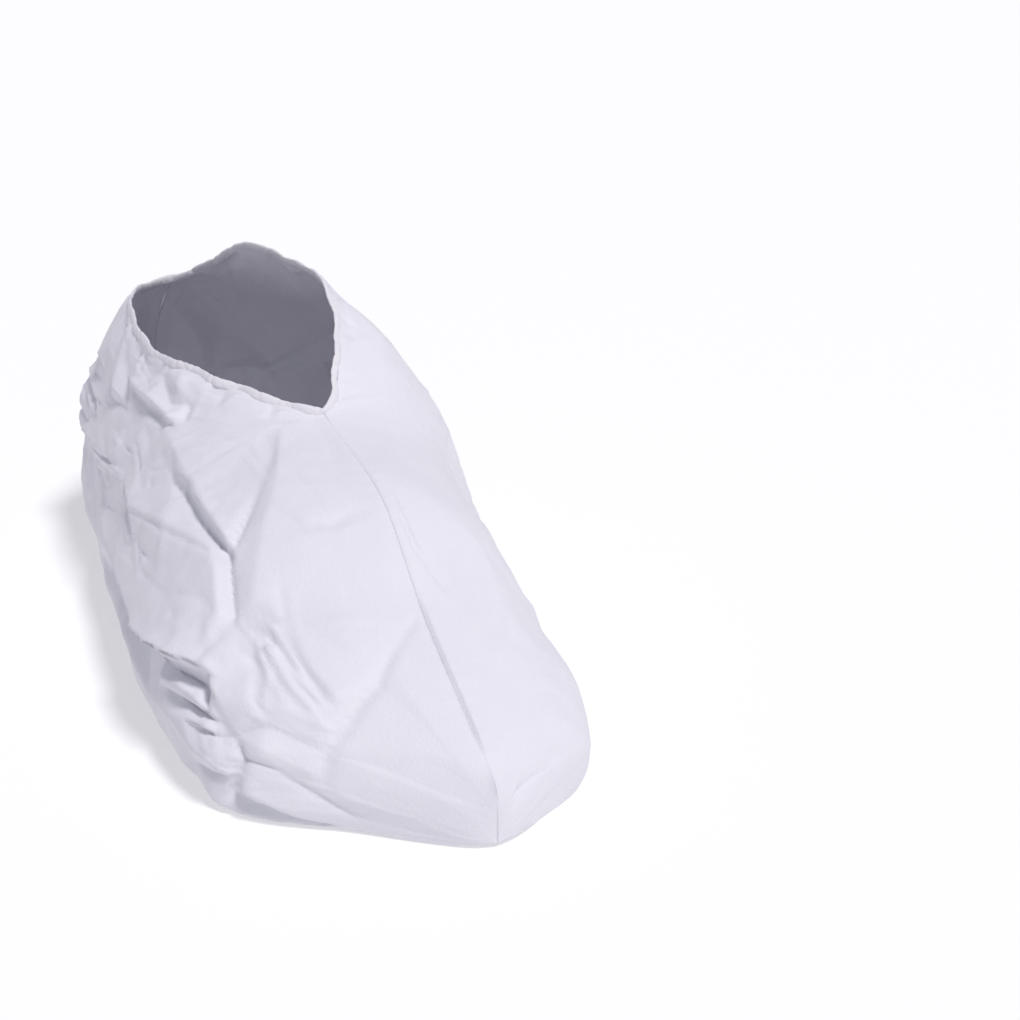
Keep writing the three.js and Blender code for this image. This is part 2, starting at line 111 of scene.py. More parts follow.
# Folds between flat facets: the side, then a line of places, each a distance from the toe, a girth and
# a height above the smooth cloth. Ridges stand above it and valleys lie below it.
FOLDS = [
    # The forked fold on the left of the instep, with its stem and the ridges beside it
    (LEFT, [(176, 0.785, 0.8), (156, 0.73, 2.0), (133, 0.72, 2.2), (110, 0.734, 1.2)]),
    (LEFT, [
        (180, 0.752, -0.8), (163, 0.712, -1.8), (147, 0.69, -2.2), (128, 0.70, -2.2), (107, 0.722, -2.2),
    ]),
    (LEFT, [(107, 0.722, -2.2), (84, 0.69, -2.0)]),
    (LEFT, [(140, 0.865, -0.5), (124, 0.80, -1.0), (107, 0.722, -2.2)]),
    (LEFT, [(152, 0.90, 0.8), (122, 0.84, 1.4), (104, 0.79, 1.0), (84, 0.735, 0.8)]),
    (LEFT, [(180, 0.60, 1.6), (144, 0.635, 1.8), (112, 0.70, 0.6)]),
    (LEFT, [(103, 0.695, 1.0), (86, 0.665, 1.4)]),
    (LEFT, [(165, 0.55, -1.0), (130, 0.59, -1.2), (105, 0.645, -0.6)]),
    (LEFT, [(112, 0.54, 1.0), (96, 0.60, 1.4), (84, 0.63, 0.8)]),
    # Gathers down the left side
    (LEFT, [(200, 0.73, -1.4), (190, 0.683, -1.6)]),
    (LEFT, [(200, 0.615, -1.4), (180, 0.596, -1.4)]),
    (LEFT, [(290, 0.515, 1.0), (252, 0.575, 1.8), (221, 0.635, 1.0)]),
    (LEFT, [(290, 0.49, -1.2), (250, 0.545, -1.6), (218, 0.605, -1.0)]),
    # The tuck below the mouth's left rim, and the folds between it and the rim
    (LEFT, [(227, 0.88, 1.0), (205, 0.872, 2.2), (187, 0.848, 1.2)]),
    (LEFT, [(223, 0.85, -0.8), (203, 0.838, -1.4), (188, 0.815, -0.6)]),
    (LEFT, [(246, 0.755, -0.8), (221, 0.793, -1.2), (199, 0.797, -0.6)]),
    (LEFT, [(209, 0.955, -0.6), (199, 0.905, -1.4), (193, 0.88, -1.0)]),
    (LEFT, [(204, 0.97, 1.0), (196, 0.942, 1.6), (190, 0.92, 1.2)]),
    (LEFT, [(186, 0.908, -1.4), (182, 0.86, -1.2)]),
    # Gathers from the left rim towards the heel, and two valleys low on the side
    (LEFT, [(262, 0.96, -1.6), (258, 0.82, -1.4)]),
    (LEFT, [(250, 0.96, 1.2), (243, 0.80, 1.8)]),
    (LEFT, [(234, 0.975, -1.4), (238, 0.86, -1.6)]),
    (LEFT, [(280, 0.94, 1.2), (276, 0.78, 1.6)]),
    (LEFT, [(298, 0.95, -1.4), (306, 0.66, -2.0)]),
    (LEFT, [(307, 0.92, 1.2), (313, 0.58, 2.0)]),
    (LEFT, [(292, 0.46, -1.6), (306, 0.50, -1.8), (316, 0.44, -1.0)]),
    (LEFT, [(230, 0.50, -1.4), (196, 0.52, -1.6)]),
    # The fan of short ridges in front of the forked fold
    (LEFT, [(82, 0.70, -1.0), (72, 0.78, -0.6)]),
    (LEFT, [(70, 0.765, 1.8), (42, 0.765, 0.8)]),
    (LEFT, [(68, 0.745, -0.8), (40, 0.738, -0.6)]),
    (LEFT, [(66, 0.728, 1.4), (36, 0.682, 0.6)]),
    (LEFT, [(68, 0.695, -1.0), (49, 0.64, -0.5)]),
    # The lip along the left edge, the cloth turned under below it, and the pocket
    (LEFT, [(236, 0.42, 0.4), (200, 0.44, 1.4), (157, 0.452, 2.0), (123, 0.472, 2.4), (106, 0.505, 3.0)]),
    (LEFT, [(106, 0.505, 3.0), (88, 0.552, 3.2), (74, 0.602, 2.6)]),
    (LEFT, [(222, 0.39, -0.4), (190, 0.408, -3.2), (152, 0.424, -5.0), (126, 0.442, -5.5)]),
    (LEFT, [(126, 0.442, -5.5), (106, 0.47, -5.0)]),
    (LEFT, [(230, 0.36, 0.2), (196, 0.372, 0.6), (166, 0.385, 1.0), (146, 0.392, 1.0), (126, 0.40, 0.6)]),
    (LEFT, [(106, 0.47, -5.0), (89, 0.518, -4.5), (74, 0.572, -3.5), (67, 0.555, -1.5)]),
    # The small laps in the pocket
    (LEFT, [(97, 0.468, -0.5), (82, 0.517, 0.6), (71, 0.545, 0.3)]),
    (LEFT, [(94, 0.45, -2.0), (76, 0.506, -3.0), (63, 0.55, -1.5)]),
    (LEFT, [(88, 0.425, 0.5), (74, 0.475, 1.2), (62, 0.52, 0.8)]),
    # Folds between the pocket and the toe's left edge
    (LEFT, [(63, 0.595, 1.4), (55, 0.645, 1.4), (47, 0.68, 0.8)]),
    (LEFT, [(66, 0.498, -0.8), (57, 0.53, -2.2), (52, 0.567, -2.0), (47, 0.627, -1.0)]),
    (LEFT, [(52, 0.567, -2.0), (48, 0.51, -2.0), (48, 0.424, -1.6), (49, 0.39, -1.4)]),
    (LEFT, [(46, 0.515, -1.2), (39, 0.512, -0.4), (31, 0.451, -0.7), (24, 0.398, -0.2)]),
    (LEFT, [(43, 0.56, 1.0), (33, 0.54, 0.5)]),
    (LEFT, [(66, 0.44, 1.2), (56, 0.455, 1.2)]),
    (LEFT, [(64, 0.411, -1.4), (55, 0.426, -1.8), (50, 0.438, -1.0)]),
    (LEFT, [(46, 0.42, 1.6), (40, 0.395, 2.0), (35, 0.36, 1.4), (28, 0.34, 0.6)]),
    (LEFT, [(49, 0.39, -1.4), (44, 0.368, -2.4), (38, 0.348, -1.8), (31, 0.335, -0.8)]),
    (LEFT, [(64, 0.36, 0.8), (57, 0.347, 2.4), (50, 0.338, 2.8), (42, 0.325, 2.4), (33, 0.315, 1.2)]),
    # The long crease from the seam to the toe's left edge
    (LEFT, [(57, 0.95, -0.2), (40, 0.847, -0.6), (32, 0.611, -0.5), (30, 0.50, -0.3)]),
    # A short dent in the left side, towards the heel
    (LEFT, [(272, 0.754, -1.6), (262, 0.745, -2.4), (253, 0.735, -1.2)]),
    # The soft ridge down the right panel's front
    (RIGHT, [(110, 0.73, 0.5), (84, 0.765, 1.4), (57, 0.785, 1.6), (46, 0.82, 0.6)]),
    # Folds down the right side and along its lower edge
    (RIGHT, [(190, 0.56, 2.0), (140, 0.52, 2.4)]),
    (RIGHT, [(140, 0.50, 0.6), (110, 0.535, 1.2), (80, 0.56, 1.0)]),
    (RIGHT, [(138, 0.455, -1.0), (110, 0.495, -2.2), (82, 0.52, -1.6)]),
    (RIGHT, [(150, 0.66, -1.0), (110, 0.61, -2.2), (66, 0.60, -1.0)]),
    (RIGHT, [(130, 0.56, 0.6), (80, 0.65, 0.6)]),
    (RIGHT, [(225, 0.66, 2.0), (186, 0.60, 1.4)]),
    (RIGHT, [(232, 0.62, -1.8), (196, 0.55, -1.6)]),
    (RIGHT, [(292, 0.62, 1.5), (255, 0.70, 2.0)]),
    (RIGHT, [(286, 0.58, -1.6), (250, 0.66, -1.8)]),
    (RIGHT, [(240, 0.42, 1.0), (190, 0.44, 1.6), (140, 0.43, 1.6)]),
    (RIGHT, [(236, 0.36, -2.0), (190, 0.36, -3.0), (140, 0.35, -2.5)]),
    # Gathers from the right rim towards the heel, and a ridge low on the heel
    (RIGHT, [(205, 0.96, -1.8), (212, 0.86, -1.4)]),
    (RIGHT, [(222, 0.96, 1.4), (230, 0.84, 1.6)]),
    (RIGHT, [(240, 0.96, -1.8), (246, 0.82, -1.2)]),
    (RIGHT, [(272, 0.94, -1.5), (276, 0.82, -1.0)]),
    (RIGHT, [(296, 0.94, 1.2), (304, 0.72, 1.8)]),
    (RIGHT, [(306, 0.95, -1.4), (311, 0.62, -2.0)]),
    (RIGHT, [(288, 0.44, 1.4), (303, 0.49, 1.8), (314, 0.42, 1.0)]),
]

# Thin creases: side, half width, wall, then a line of places as above. A crease with a wall is a lap:
# across the wall's width the cloth steps up to the side nearer the seam, or to the other side where
# the height is negative.
NO_WALL = 0
CREASES = [
    # The forked fold and the facets beside it
    (LEFT, 7, 0.8, [(165, 0.73, 0.4), (147, 0.706, 1.2), (130, 0.712, 1.4), (107, 0.728, 1.7)]),
    (LEFT, 2.6, 0, [(107, 0.725, -1.6), (95, 0.706, -1.8), (84, 0.692, -1.2)]),
    (LEFT, 2.8, 0, [(130, 0.836, -0.3), (116, 0.779, -1.0), (107, 0.738, -1.4)]),
    (LEFT, 2.6, 0, [(177, 0.59, -0.4), (144, 0.622, -1.0), (107, 0.708, -1.2)]),
    (LEFT, 3.0, 0, [(83, 0.689, -0.8), (79, 0.605, -0.8)]),
    # Two short creases and the long gather down the left side
    (LEFT, 2.8, 0, [(200, 0.73, -0.8), (190, 0.683, -1.3)]),
    (LEFT, 2.8, 0, [(199, 0.615, -0.8), (180, 0.596, -1.3)]),
    (LEFT, 6, 0.8, [(290, 0.503, -0.3), (252, 0.557, -1.0), (221, 0.617, -1.3), (205, 0.64, -0.3)]),
    # The tuck below the mouth's left rim
    (LEFT, 7, 0.8, [(225, 0.865, 1.2), (203, 0.858, 1.5), (187, 0.836, 1.5)]),
    (LEFT, 3.0, 0, [(188, 0.916, -0.5), (185, 0.895, -1.2), (182, 0.857, -0.8)]),
    # The fan of short ridges
    (LEFT, 4, 0.8, [(81, 0.705, -1.4), (72, 0.752, -1.3)]),
    (LEFT, 4, 0, [(84, 0.784, -0.3), (70, 0.769, -1.0), (45, 0.752, -0.6)]),
    (LEFT, 2.4, 0, [(77, 0.708, 0.5), (70, 0.748, 1.3), (58, 0.75, 1.2), (42, 0.73, 0.6)]),
    (LEFT, 2.6, 0, [(68, 0.737, -1.2), (46, 0.722, -0.7)]),
    (LEFT, 2.4, 0, [(66, 0.727, 1.0), (47, 0.712, 1.0), (36, 0.681, 0.5)]),
    (LEFT, 2.6, 0, [(64, 0.716, -1.0), (44, 0.69, -0.6)]),
    (LEFT, 2.4, 0, [(69, 0.71, 0.9), (59, 0.70, 1.1), (51, 0.657, 0.6)]),
    # The long crease from the seam to the toe's left edge
    (LEFT, 3.2, 0, [
        (57, 0.985, -0.6), (40, 0.847, -1.3), (35, 0.728, -1.3), (32, 0.611, -1.2), (30, 0.50, -0.7),
    ]),
    # The pocket's lip, its end and the lap in it
    (LEFT, 8, 0.8, [(123, 0.467, 1.4), (106, 0.501, 2.4), (88, 0.546, 3.0), (74, 0.60, 2.6)]),
    (LEFT, 3.0, 0, [(74, 0.598, -1.8), (69, 0.561, -1.6)]),
    (LEFT, 5, 0.8, [(94, 0.454, 0.8), (76, 0.51, 1.8), (63, 0.553, 1.2)]),
    # Folds between the pocket and the toe's left edge
    (LEFT, 3.4, 0, [(66, 0.50, -0.8), (57, 0.531, -1.5), (52, 0.567, -1.5), (47, 0.627, -1.0)]),
    (LEFT, 3.0, 0, [(51, 0.55, -1.2), (47, 0.512, -2.0), (47, 0.424, -2.0), (51, 0.34, -1.0)]),
    (LEFT, 4, 0.8, [(65, 0.41, 1.2), (55, 0.426, 1.4), (50, 0.438, 0.6)]),
    (LEFT, 2.6, 0, [(45, 0.516, -0.9), (39, 0.515, -0.4), (31, 0.451, -0.8), (23, 0.392, -0.2)]),
    # Short creases on both sides of the forked fold's stem
    (LEFT, 4, 0, [(120, 0.551, -0.4), (110, 0.606, -0.9), (97, 0.65, -0.5)]),
    (LEFT, 3.6, 0, [(109, 0.818, -0.6), (98, 0.85, -1.2), (95, 0.902, -1.1), (96, 0.955, -0.5)]),
    # Creases on the left side of the heel
    (LEFT, 6, 0.8, [(306, 0.74, 0.6), (284, 0.66, 1.4), (262, 0.64, 0.6)]),
    (LEFT, 3.0, 0, [(312, 0.60, -0.8), (296, 0.55, -1.4), (276, 0.57, -0.6)]),
    # The right panel's front
    (RIGHT, 4, 0, [(107, 0.975, -0.4), (80, 0.955, -1.4), (66, 0.915, -0.8)]),
    (RIGHT, 4, 0, [(67, 0.77, -0.5), (49, 0.815, -0.5)]),
    (RIGHT, 2.2, 0, [(10, 0.61, -0.4), (3, 0.72, -0.6)]),
    # The right panel's side and back
    (RIGHT, 7, 0.8, [(225, 0.64, 1.0), (196, 0.575, 1.6), (170, 0.55, 0.6)]),
    (RIGHT, 3.0, 0, [(196, 0.575, -1.2), (150, 0.54, -1.4), (118, 0.55, -0.6)]),
    (RIGHT, 6, 0.8, [(150, 0.47, 0.6), (110, 0.52, 1.6), (80, 0.54, 1.0)]),
    (RIGHT, 3.0, 0, [(110, 0.52, -1.2), (98, 0.45, -1.4), (96, 0.40, -0.6)]),
    (RIGHT, 3.0, 0, [(80, 0.54, -1.0), (64, 0.48, -1.2), (48, 0.45, -0.5)]),
    (RIGHT, 6, 0.8, [(290, 0.60, 0.8), (262, 0.68, 1.4), (240, 0.74, 0.6)]),
    (RIGHT, 3.0, 0, [(262, 0.68, -1.0), (250, 0.60, -1.4), (252, 0.50, -0.6)]),
    (RIGHT, 3.0, 0, [(212, 0.90, -0.8), (206, 0.80, -1.4), (214, 0.70, -0.6)]),
    (RIGHT, 6, 0.8, [(184, 0.70, 0.6), (205, 0.67, 1.4), (226, 0.69, 0.6)]),
]

# Where folds and creases run out: between two girths above the sole, and over a length at the tips of
# the toe and heel and along the upper edge
FOLD_FROM_GIRTH = 0.26
FOLD_FULL_GIRTH = 0.34
FOLD_TIP_RUN = 10.0
SEAM_FLAT_RUN = 4.0

# How far the cloth goes towards lying flat between its folds, how much of that is left on calm places,
# the most it may give way, and the length over which this sets in from the upper edge
FLAT_SHARE = 0.85
FLAT_CALM_SHARE = 0.25
FLAT_LIMIT = 3.0
FLAT_EDGE_RUN = 12.0

# Crumple: flat facets of three sizes, each a spacing, a height and the share left on calm places
CRUMPLES = [(22.0, 1.4, 0.25), (10.0, 0.45, 0.15), (5.0, 0.1, 0.3)]

# Crumple and chance creases fade out towards the toe, between two distances from it. The corners of the
# facets are strewn off a grid, clear of the folds. Their net reaches past the panel and has no hole.
CALM_TOE = (8.0, 50.0)
NODE_JITTER = 0.38
FOLD_CLEARANCE = 7.0
CRUMPLE_MARGIN = 60.0
NODE_MERGE = 1e-4
WHOLE_HULL = 0
NO_FOLDS = ([], [], [])

# Where the cloth is most crumpled: side, distance from the toe, girth, reach
BUSY_PLACES = [
    (LEFT, 70, 0.55, 45),
    (LEFT, 145, 0.60, 50),
    (LEFT, 215, 0.70, 55),
    (LEFT, 240, 0.44, 45),
    (LEFT, 300, 0.62, 55),
    (RIGHT, 110, 0.46, 40),
    (RIGHT, 205, 0.48, 55),
    (RIGHT, 300, 0.60, 60),
]

# Chance creases, strewn over each panel and strongest where it is most crumpled
CHANCE_CREASES = 170
CHANCE_LENGTH = (8.0, 38.0)
CHANCE_HEIGHT = (0.3, 1.0)
CHANCE_HALF_WIDTH = (1.9, 3.4)
CHANCE_LOW_GIRTH = 0.36
CHANCE_CALM_SHARE = 0.1

# Pleats that the elastic draws into the cloth below the mouth
PLEATS_A_SIDE = 22
PLEAT_JITTER = 0.4
PLEAT_LENGTH = (8.0, 30.0)
PLEAT_DEPTH = (0.6, 1.8)
PLEAT_HALF_WIDTH = (2.0, 4.5)
PLEAT_LEAN = 9.0

# The seam: both panels turn in at their edge, with small puckers between the stitches. The table gives
# a distance from the toe and the groove's depth there.
SEAM_DEPTHS = np.array([
    (0, 0.1), (9, 0.1), (15, 1.2), (56, 1.2), (66, 0.3), (150, 0.25), (296, 0.7), (320, 0.7),
])
SEAM_HALF_WIDTH = 0.7
PUCKER_PITCH = 6.0
PUCKER_DEPTH = 0.15
PUCKER_REACH = 4.0

# The hem's band: its size, how deep the cloth's edge sits in it, how finely it is divided, how far it
# leans with the cloth, and the steps over which its line is smoothed
HEM_HEIGHT = 3.8
HEM_THICKNESS = 1.9
HEM_SINK = 1.5
HEM_STEPS = 1200
HEM_CORNERS = 24
HEM_LEAN = 0.55
HEM_ROUNDING = 5

# How far the hem sways across and up, and for each the fewest waves round the mouth and how many kinds
HEM_WOBBLE = 0.45
ACROSS_WAVES = (8, 14)
UP_WAVES = (5, 12)

# The elastic's pinches, at uneven places: the share of the band's thickness that each takes, its reach
# and slant, and how much of it the band's height feels
HEM_PINCHES = 120
PINCH_JITTER = 0.4
PINCH_DEPTH = (0.1, 0.45)
PINCH_REACH = (0.5, 1.6)
PINCH_SLANT = 2.4
PINCH_HEIGHT_SHARE = 0.5

# How finely the cloth is divided along its length and round its girth, how far the mouth's rows crowd
# towards its ends, and the small step for finding the directions straight out of the cloth
TOE_ROWS = 124
MOUTH_ROWS = 132
MOUTH_EASE = 0.7
HEEL_ROWS = 34
SOLE_CELLS = 12
SIDE_CELLS = 30
UPPER_CELLS = 96
SEAM_CELLS = 8
SEAM_CELL_GIRTH = 0.03
PROBE = 0.002

# The cloth's and the hem's colours, linear
CLOTH_LIGHT = (0.78, 0.775, 0.83, 1.0)
CLOTH_SHADE = (0.73, 0.725, 0.785, 1.0)
HEM_LIGHT = (0.79, 0.775, 0.82, 1.0)
HEM_SHADE = (0.72, 0.70, 0.75, 1.0)

# The pressed sheet's surface: gloss, sheen, roughness, the settings of its clouds and fibres with scales
# counted to the metre, and the relief of both with its depth in metres
SHEET_SPECULAR = 0.35
SHEEN_WEIGHT = 0.12
SHEEN_ROUGHNESS = 0.4
SATIN_LOW = 0.52
SATIN_HIGH = 0.72
CLOUDS = {"Scale": 60.0, "Detail": 4.0, "Roughness": 0.6}
FIBRES = {"Scale": 750.0, "Detail": 3.0, "Distortion": 2.5}
DIMPLE_SCALE = 820.0
RELIEF_STRENGTH = 0.16
RELIEF_DEPTH = 0.0005

# The floor: its colours, the faint glow that keeps the cast shadow pale, its surface, and half its
# width in metres
FLOOR_LIGHT = (0.67, 0.67, 0.675, 1.0)
FLOOR_SHADE = (0.65, 0.65, 0.655, 1.0)
FLOOR_GLOW = 0.36
GLOW_COLOUR = (1.0, 1.0, 1.0, 1.0)
FLOOR_ROUGHNESS = 0.8
FLOOR_SPECULAR = 0.1
FLOOR_CLOUD_SCALE = 3.0
FLOOR_HALF = 40.0
FLOOR_CORNERS = [(-1, -1), (1, -1), (1, 1), (-1, 1)]

# The camera at the photograph's angle, its places in metres
CAMERA_AT = (-0.2255, -0.6326, 0.3053)
CAMERA_LOOKS_AT = (0.1201, 0.0791, 0.0)
LENS_MM = 74.1
SENSOR_MM = 36.0

# The key light: the way towards it, its strength, softness in degrees and colour. The world fills in.
KEY_TOWARDS = (0.15, -0.52, 1.0)
KEY_STRENGTH = 2.1
KEY_SOFTNESS = 14.0
KEY_COLOUR = (1.0, 0.99, 0.98)
WORLD_COLOUR = (0.89, 0.885, 1.0, 1.0)
WORLD_STRENGTH = 0.42


def turn_at(from_toe):
    """Share of a half turn from toe to heel, which makes both ends of a table run out round."""
    return np.arccos(np.clip(1 - 2 * from_toe / LENGTH, -1, 1)) / np.pi


def eased(share):
    """Share from 0 to 1 that starts and ends slowly."""
    return (1 - np.cos(np.pi * share)) / 2


def from_toe_at(turn):
    return LENGTH * eased(turn)


def smooth_line(xs, ys):
    """Smooth line through the points that never overshoots them."""
    slopes = np.diff(ys) / np.diff(xs)
    product = slopes[:-1] * slopes[1:]
    total = slopes[:-1] + slopes[1:]
    inner = np.where(product > 0, 2 * product / np.where(product > 0, total, 1), 0)
    bends = np.concatenate([slopes[:1], inner, slopes[-1:]])

    def line(x):
        row = np.clip(np.searchsorted(xs, x, side="right") - 1, 0, len(xs) - 2)
        run = xs[row + 1] - xs[row]
        t = np.clip((x - xs[row]) / run, 0, 1)
        rest = 1 - t
        start = ys[row] * (1 + 2 * t) * rest ** 2 + run * bends[row] * t * rest ** 2
        end = ys[row + 1] * (3 - 2 * t) * t ** 2 - run * bends[row + 1] * t ** 2 * rest
        return start + end

    return line


def section_line(column):
    """Smooth line along the length through one column of the sections."""
    return smooth_line(turn_at(SECTIONS[:, FROM_TOE]), SECTIONS[:, column])


HALF_LINE = {LEFT: section_line(LEFT_HALF), RIGHT: section_line(RIGHT_HALF)}
SOLE_LINE = {LEFT: section_line(LEFT_SOLE), RIGHT: section_line(RIGHT_SOLE)}
APEX_LINE = {LEFT: section_line(LEFT_APEX), RIGHT: section_line(RIGHT_APEX)}
BULGE_LINE = section_line(BULGE)
PULL_LINE = smooth_line(*SEAM_PULL.T)


def lerp(a, b, t):
    return a + (b - a) * t


def smoothstep(x, low, high):
    t = np.clip((x - low) / (high - low), 0, 1)
    return t * t * (3 - 2 * t)


def round_up(near):
    """Quarter round from 0 at the flat sole to 1 at the very end."""
    return 1 - np.sqrt(1 - near * near)


def edge_angle(side, from_toe):
    """Angle up the arch at which the cloth ends: at the ridge, or earlier at the mouth's edge."""
    across = np.clip(2 * (from_toe - MOUTH_FRONT) / (MOUTH_BACK - MOUTH_FRONT) - 1, -1, 1)
    share = (1 - across ** 2) ** np.where(across < 0, FRONT_POINT, BACK_POINT)
    half = np.maximum(HALF_LINE[side](turn_at(from_toe)), PIECE_GAP)
    return np.arccos(np.clip(MOUTH_HALF[side] * share / half, 0, 1) ** (1 / PEAK_POWER))


def seam_place(from_toe, z):
    """How far to the side of the middle both panels meet, at a height."""
    return PULL_LINE(from_toe) * np.clip((z - PULL_FROM_HEIGHT) / PULL_RUN, 0, 1)


def smooth_points(side, from_toe, girth, inset=0.0):
    """Points of the smooth cloth without its folds, moved in from the outer face by inset."""
    turn = turn_at(from_toe)
    near_toe = np.clip(1 - from_toe / TOE_RUN, 0, 1)
    near_heel = np.clip(1 - (LENGTH - from_toe) / HEEL_RUN, 0, 1)
    half = np.maximum(0, HALF_LINE[side](turn) - inset)
    sole_half = np.maximum(0, SOLE_LINE[side](turn) - inset)
    bottom = TOE_LIFT * round_up(near_toe) + HEEL_LIFT * round_up(near_heel) + inset
    bulge = BULGE_LINE(turn)
    apex = APEX_LINE[side](turn) - inset

    side_angle = np.clip((girth - SOLE_GIRTH) / (SIDE_GIRTH - SOLE_GIRTH), 0, 1) * np.pi / 2
    arch_angle = np.clip((girth - SIDE_GIRTH) / (1 - SIDE_GIRTH), 0, 1) * edge_angle(side, from_toe)
    on_sole = girth <= SOLE_GIRTH
    on_side = girth <= SIDE_GIRTH
    side_x = sole_half + (half - sole_half) * np.sin(side_angle)
    arch_x = half * np.maximum(0, np.cos(arch_angle)) ** PEAK_POWER
    x = np.where(on_sole, sole_half * girth / SOLE_GIRTH, np.where(on_side, side_x, arch_x))
    side_z = lerp(bulge, bottom, np.cos(side_angle))
    arch_z = lerp(bulge, apex, np.sin(arch_angle))
    z = np.where(on_sole, bottom, np.where(on_side, side_z, arch_z))
    z = lerp(z, lerp(bottom, apex, girth ** 2), (near_toe + near_heel) ** TIP_POWER)

    x = seam_place(from_toe, z) + side * (x + PIECE_GAP / 2)
    y = inset + (LENGTH - 2 * inset) * from_toe / LENGTH
    return np.stack(np.broadcast_arrays(x, y, z), axis=-1)


def unit(vectors):
    return vectors / np.maximum(np.linalg.norm(vectors, axis=-1, keepdims=True), TINY)


def outward(side, from_toe, girth):
    """Directions straight out of the smooth cloth."""
    turn = turn_at(from_toe)
    ahead = smooth_points(side, from_toe_at(np.clip(turn + PROBE, 0, 1)), girth)
    behind = smooth_points(side, from_toe_at(np.clip(turn - PROBE, 0, 1)), girth)
    above = smooth_points(side, from_toe, np.clip(girth + PROBE, 0, 1))
    below = smooth_points(side, from_toe, np.clip(girth - PROBE, 0, 1))
    return unit(side * np.cross(ahead - behind, above - below))


def crease_height(half_width, wall, line, from_toe, girth):
    """Height of one crease, sharp along its line and running out smoothly on both sides."""
    place = np.stack(np.broadcast_arrays(from_toe, girth * GIRTH_RUN), axis=-1)
    nearest = np.full(place.shape[:-1], half_width)
    height = np.zeros(place.shape[:-1])
    for (start_toe, start_girth, start_height), (end_toe, end_girth, end_height) in zip(line, line[1:]):
        start = np.array([start_toe, start_girth * GIRTH_RUN])
        run = np.array([end_toe, end_girth * GIRTH_RUN]) - start
        along = np.clip((place - start) @ run / (run @ run), 0, 1)
        away = np.linalg.norm(place - start - along[..., None] * run, axis=-1)
        top = lerp(start_height, end_height, along) * np.maximum(0, 1 - away / half_width) ** 2
        if wall:
            to_seam = np.array([-run[1], run[0]]) * np.sign(run[0]) / np.linalg.norm(run)
            top = top * np.clip((place - start) @ to_seam / wall, -1, 1)
        height = np.where(away < nearest, top, height)
        nearest = np.minimum(away, nearest)
    return height


def mouth_pleats(rng):
    """Creases of uneven length and depth that start at the mouth's edge."""
    rows = []
    for i in range(PLEATS_A_SIDE):
        share = (i + 0.5 + rng.uniform(-PLEAT_JITTER, PLEAT_JITTER)) / PLEATS_A_SIDE
        start = lerp(MOUTH_FRONT, MOUTH_BACK, share)
        length = rng.uniform(*PLEAT_LENGTH)
        depth = rng.uniform(*PLEAT_DEPTH) * rng.choice([-1, 1])
        end = start + rng.uniform(-PLEAT_LEAN, PLEAT_LEAN)
        width = rng.uniform(*PLEAT_HALF_WIDTH)
        rows.append((width, NO_WALL, [(start, 1.0, depth), (end, 1 - length / GIRTH_RUN, 0)]))
    return rows


def chance_creases(side, rng):
    """Short straight creases in every direction, shallow where the cloth lies calm."""
    rows = []
    for _ in range(CHANCE_CREASES):
        toe = rng.uniform(0, LENGTH)
        girth = rng.uniform(CHANCE_LOW_GIRTH, 1)
        length = rng.uniform(*CHANCE_LENGTH)
        angle = rng.uniform(0, np.pi)
        height = rng.uniform(*CHANCE_HEIGHT) * rng.choice([-1, 1])
        busy = busy_share(side, toe, girth)
        height = height * lerp(CHANCE_CALM_SHARE, 1, busy) * smoothstep(toe, *CALM_TOE)
        end_toe = toe + length * np.cos(angle)
        end_girth = girth + length * np.sin(angle) / GIRTH_RUN
        width = rng.uniform(*CHANCE_HALF_WIDTH)
        rows.append((width, NO_WALL, [(toe, girth, height), (end_toe, end_girth, 0)]))
    return rows


def line_distance(place, start, end):
    """Distance from a place to a straight line between two others."""
    run = end - start
    along = min(max((place - start).dot(run) / run.dot(run), 0), 1)
    return (place - start - along * run).length


def fold_nodes(side):
    """Places and heights along one side's folds, and the pairs of places that a fold joins."""
    nodes, heights, pairs = [], [], []
    for fold_side, line in FOLDS:
        if fold_side == side:
            pairs += [(len(nodes) + k, len(nodes) + k + 1) for k in range(len(line) - 1)]
            nodes += [Vector((toe, girth * GIRTH_RUN)) for toe, girth, _ in line]
            heights += [height for _, _, height in line]
    return nodes, heights, pairs


def facet_net(side, rng, crumple, folds):
    """Uneven triangles over a panel laid out flat, with the given folds along some of their edges.

    Gives the places and heights of their corners, and the three corners of each triangle.
    """
    spacing, height, calm_share = crumple
    nodes, heights, pairs = [list(values) for values in folds]
    lines = [(nodes[a], nodes[b]) for a, b in pairs]
    for toe in np.arange(-CRUMPLE_MARGIN, LENGTH + CRUMPLE_MARGIN, spacing):
        for up in np.arange(-CRUMPLE_MARGIN, GIRTH_RUN + CRUMPLE_MARGIN, spacing):
            place = Vector((toe, up)) + spacing * NODE_JITTER * Vector(rng.uniform(-1, 1, 2))
            share = lerp(calm_share, 1, busy_share(side, place.x, place.y / GIRTH_RUN))
            tall = height * share * rng.normal() * smoothstep(place.x, *CALM_TOE)
            if all(line_distance(place, *line) > FOLD_CLEARANCE for line in lines):
                nodes.append(place)
                heights.append(tall)
    places, _, faces, origins, _, _ = delaunay_2d_cdt(nodes, pairs, [], WHOLE_HULL, NODE_MERGE, True)
    tops = [np.mean([heights[i] for i in origin]) if origin else 0 for origin in origins]
    return np.array([tuple(place) for place in places]), np.array(tops), np.array(faces)


def cross_area(a, b):
    """Cross products of flat vectors, twice the areas of the triangles between them."""
    return a[:, 0] * b[:, 1] - a[:, 1] * b[:, 0]


